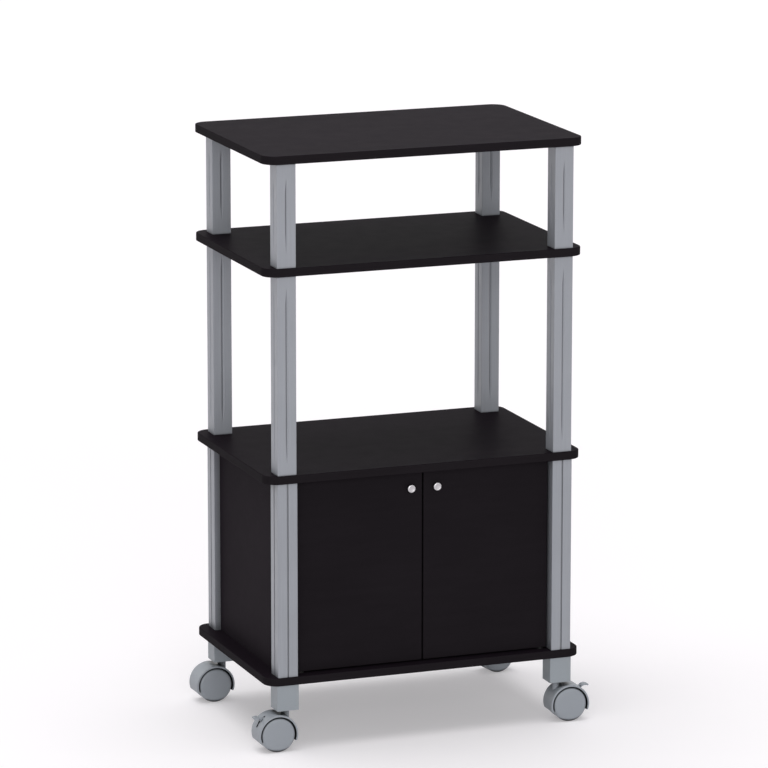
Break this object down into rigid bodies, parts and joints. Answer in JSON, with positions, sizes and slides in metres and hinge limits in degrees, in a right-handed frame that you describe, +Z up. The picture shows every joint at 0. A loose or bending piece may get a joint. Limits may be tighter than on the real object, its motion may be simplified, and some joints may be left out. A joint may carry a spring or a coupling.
{
  "type": "microwave stand",
  "caption": "Wheeled kitchen stand: shelves on square posts with an open microwave bay over a cabinet with a pair of hinged doors.",
  "frame": {"origin": "on the floor, under the centre of the boards", "axes": "+Z up, front with the doors towards -Y, +X to the right of someone facing the front"},
  "size_m": [0.6421, 0.4034, 1.0699],
  "materials": {
    "black_board": "black melamine-faced particle board, satin",
    "black_panel": "black melamine-faced particle board, satin",
    "black_door": "black melamine-faced particle board, matt",
    "black_fibreboard": "thin painted fibreboard",
    "silver_post": "silver-grey moulded plastic, satin",
    "silver_foot": "silver-grey moulded plastic, satin",
    "grey_hood": "light grey moulded plastic, satin",
    "grey_wheel": "light grey moulded plastic, worn matt on the tread",
    "grey_lever": "light grey moulded plastic",
    "connector_plastic": "dark moulded plastic",
    "bush_plastic": "black acetal",
    "catch_plastic": "black moulded plastic with a magnet",
    "steel": "zinc-plated steel",
    "knob_metal": "satin turned aluminium"
  },
  "bodies": {
    "frame": {"base_shelf": "black_board", "microwave_shelf": "black_board", "upper_shelf": "black_board", "top_shelf": "black_board", "lower_post_front_left": "silver_post", "middle_post_front_left": "silver_post", "upper_post_front_left": "silver_post", "lower_post_front_right": "silver_post", "middle_post_front_right": "silver_post", "upper_post_front_right": "silver_post", "lower_post_rear_left": "silver_post", "middle_post_rear_left": "silver_post", "upper_post_rear_left": "silver_post", "lower_post_rear_right": "silver_post", "middle_post_rear_right": "silver_post", "upper_post_rear_right": "silver_post", "foot_block_front_left": "silver_foot", "foot_block_front_right": "silver_foot", "foot_block_rear_left": "silver_foot", "foot_block_rear_right": "silver_foot", "left_side_panel": "black_panel", "right_side_panel": "black_panel", "back_panel": "black_fibreboard", "base_connectors": "connector_plastic", "microwave_shelf_connectors": "connector_plastic", "upper_shelf_connectors": "connector_plastic", "top_plugs": "connector_plastic", "top_plug_screws": "steel", "stem_sockets": "connector_plastic", "caster_stems": "steel", "hinge_bushes": "bush_plastic", "door_catches": "catch_plastic"},
    "left_door": {"left_door": "black_door", "left_knob": "knob_metal", "left_knob_screw": "steel", "left_hinge_pins": "steel", "left_strike": "steel"},
    "right_door": {"right_door": "black_door", "right_knob": "knob_metal", "right_knob_screw": "steel", "right_hinge_pins": "steel", "right_strike": "steel"},
    "front_left_caster": {"caster_hood_front_left": "grey_hood", "caster_axle_front_left": "steel"},
    "front_left_wheel_a": {"caster_wheel_a_front_left": "grey_wheel"},
    "front_left_wheel_b": {"caster_wheel_b_front_left": "grey_wheel"},
    "front_left_brake_lever": {"brake_lever_front_left": "grey_lever"},
    "front_right_caster": {"caster_hood_front_right": "grey_hood", "caster_axle_front_right": "steel"},
    "front_right_wheel_a": {"caster_wheel_a_front_right": "grey_wheel"},
    "front_right_wheel_b": {"caster_wheel_b_front_right": "grey_wheel"},
    "front_right_brake_lever": {"brake_lever_front_right": "grey_lever"},
    "rear_left_caster": {"caster_hood_rear_left": "grey_hood", "caster_axle_rear_left": "steel"},
    "rear_left_wheel_a": {"caster_wheel_a_rear_left": "grey_wheel"},
    "rear_left_wheel_b": {"caster_wheel_b_rear_left": "grey_wheel"},
    "rear_right_caster": {"caster_hood_rear_right": "grey_hood", "caster_axle_rear_right": "steel"},
    "rear_right_wheel_a": {"caster_wheel_a_rear_right": "grey_wheel"},
    "rear_right_wheel_b": {"caster_wheel_b_rear_right": "grey_wheel"}
  },
  "joints": [
    {"name": "left_door_hinge", "type": "hinge", "parent": "frame", "child": "left_door", "pos_m": [-0.2295, -0.1735, 0.1389], "axis": [0, 0, -1], "range_deg": [0, 95]},
    {"name": "right_door_hinge", "type": "hinge", "parent": "frame", "child": "right_door", "pos_m": [0.2295, -0.1735, 0.1389], "axis": [0, 0, 1], "range_deg": [0, 95]},
    {"name": "front_left_caster_swivel", "type": "hinge", "parent": "frame", "child": "front_left_caster", "pos_m": [-0.261, -0.1795, 0.0735], "axis": [0, 0, 1], "continuous": true},
    {"name": "front_left_wheel_a_spin", "type": "hinge", "parent": "front_left_caster", "child": "front_left_wheel_a", "pos_m": [-0.28, -0.1795, 0.0318], "axis": [0, -1, 0], "continuous": true},
    {"name": "front_left_wheel_b_spin", "type": "hinge", "parent": "front_left_caster", "child": "front_left_wheel_b", "pos_m": [-0.28, -0.1795, 0.0318], "axis": [0, -1, 0], "continuous": true},
    {"name": "front_left_brake_press", "type": "hinge", "parent": "front_left_caster", "child": "front_left_brake_lever", "pos_m": [-0.29784, -0.1795, 0.04786], "axis": [0, -1, 0], "range_deg": [0, 12]},
    {"name": "front_right_caster_swivel", "type": "hinge", "parent": "frame", "child": "front_right_caster", "pos_m": [0.261, -0.1795, 0.0735], "axis": [0, 0, 1], "continuous": true},
    {"name": "front_right_wheel_a_spin", "type": "hinge", "parent": "front_right_caster", "child": "front_right_wheel_a", "pos_m": [0.27999, -0.18016, 0.0318], "axis": [0.0349, 0.9994, 0], "continuous": true},
    {"name": "front_right_wheel_b_spin", "type": "hinge", "parent": "front_right_caster", "child": "front_right_wheel_b", "pos_m": [0.27999, -0.18016, 0.0318], "axis": [0.0349, 0.9994, 0], "continuous": true},
    {"name": "front_right_brake_press", "type": "hinge", "parent": "front_right_caster", "child": "front_right_brake_lever", "pos_m": [0.29781, -0.18079, 0.04786], "axis": [0.0349, 0.9994, 0], "range_deg": [0, 12]},
    {"name": "rear_left_caster_swivel", "type": "hinge", "parent": "frame", "child": "rear_left_caster", "pos_m": [-0.261, 0.1655, 0.0735], "axis": [0, 0, 1], "continuous": true},
    {"name": "rear_left_wheel_a_spin", "type": "hinge", "parent": "rear_left_caster", "child": "rear_left_wheel_a", "pos_m": [-0.28, 0.16517, 0.0318], "axis": [0.0175, -0.9998, 0], "continuous": true},
    {"name": "rear_left_wheel_b_spin", "type": "hinge", "parent": "rear_left_caster", "child": "rear_left_wheel_b", "pos_m": [-0.28, 0.16517, 0.0318], "axis": [0.0175, -0.9998, 0], "continuous": true},
    {"name": "rear_right_caster_swivel", "type": "hinge", "parent": "frame", "child": "rear_right_caster", "pos_m": [0.261, 0.1655, 0.0735], "axis": [0, 0, 1], "continuous": true},
    {"name": "rear_right_wheel_a_spin", "type": "hinge", "parent": "rear_right_caster", "child": "rear_right_wheel_a", "pos_m": [0.27981, 0.16814, 0.0318], "axis": [-0.1392, 0.9903, 0], "continuous": true},
    {"name": "rear_right_wheel_b_spin", "type": "hinge", "parent": "rear_right_caster", "child": "rear_right_wheel_b", "pos_m": [0.27981, 0.16814, 0.0318], "axis": [-0.1392, 0.9903, 0], "continuous": true}
  ]
}
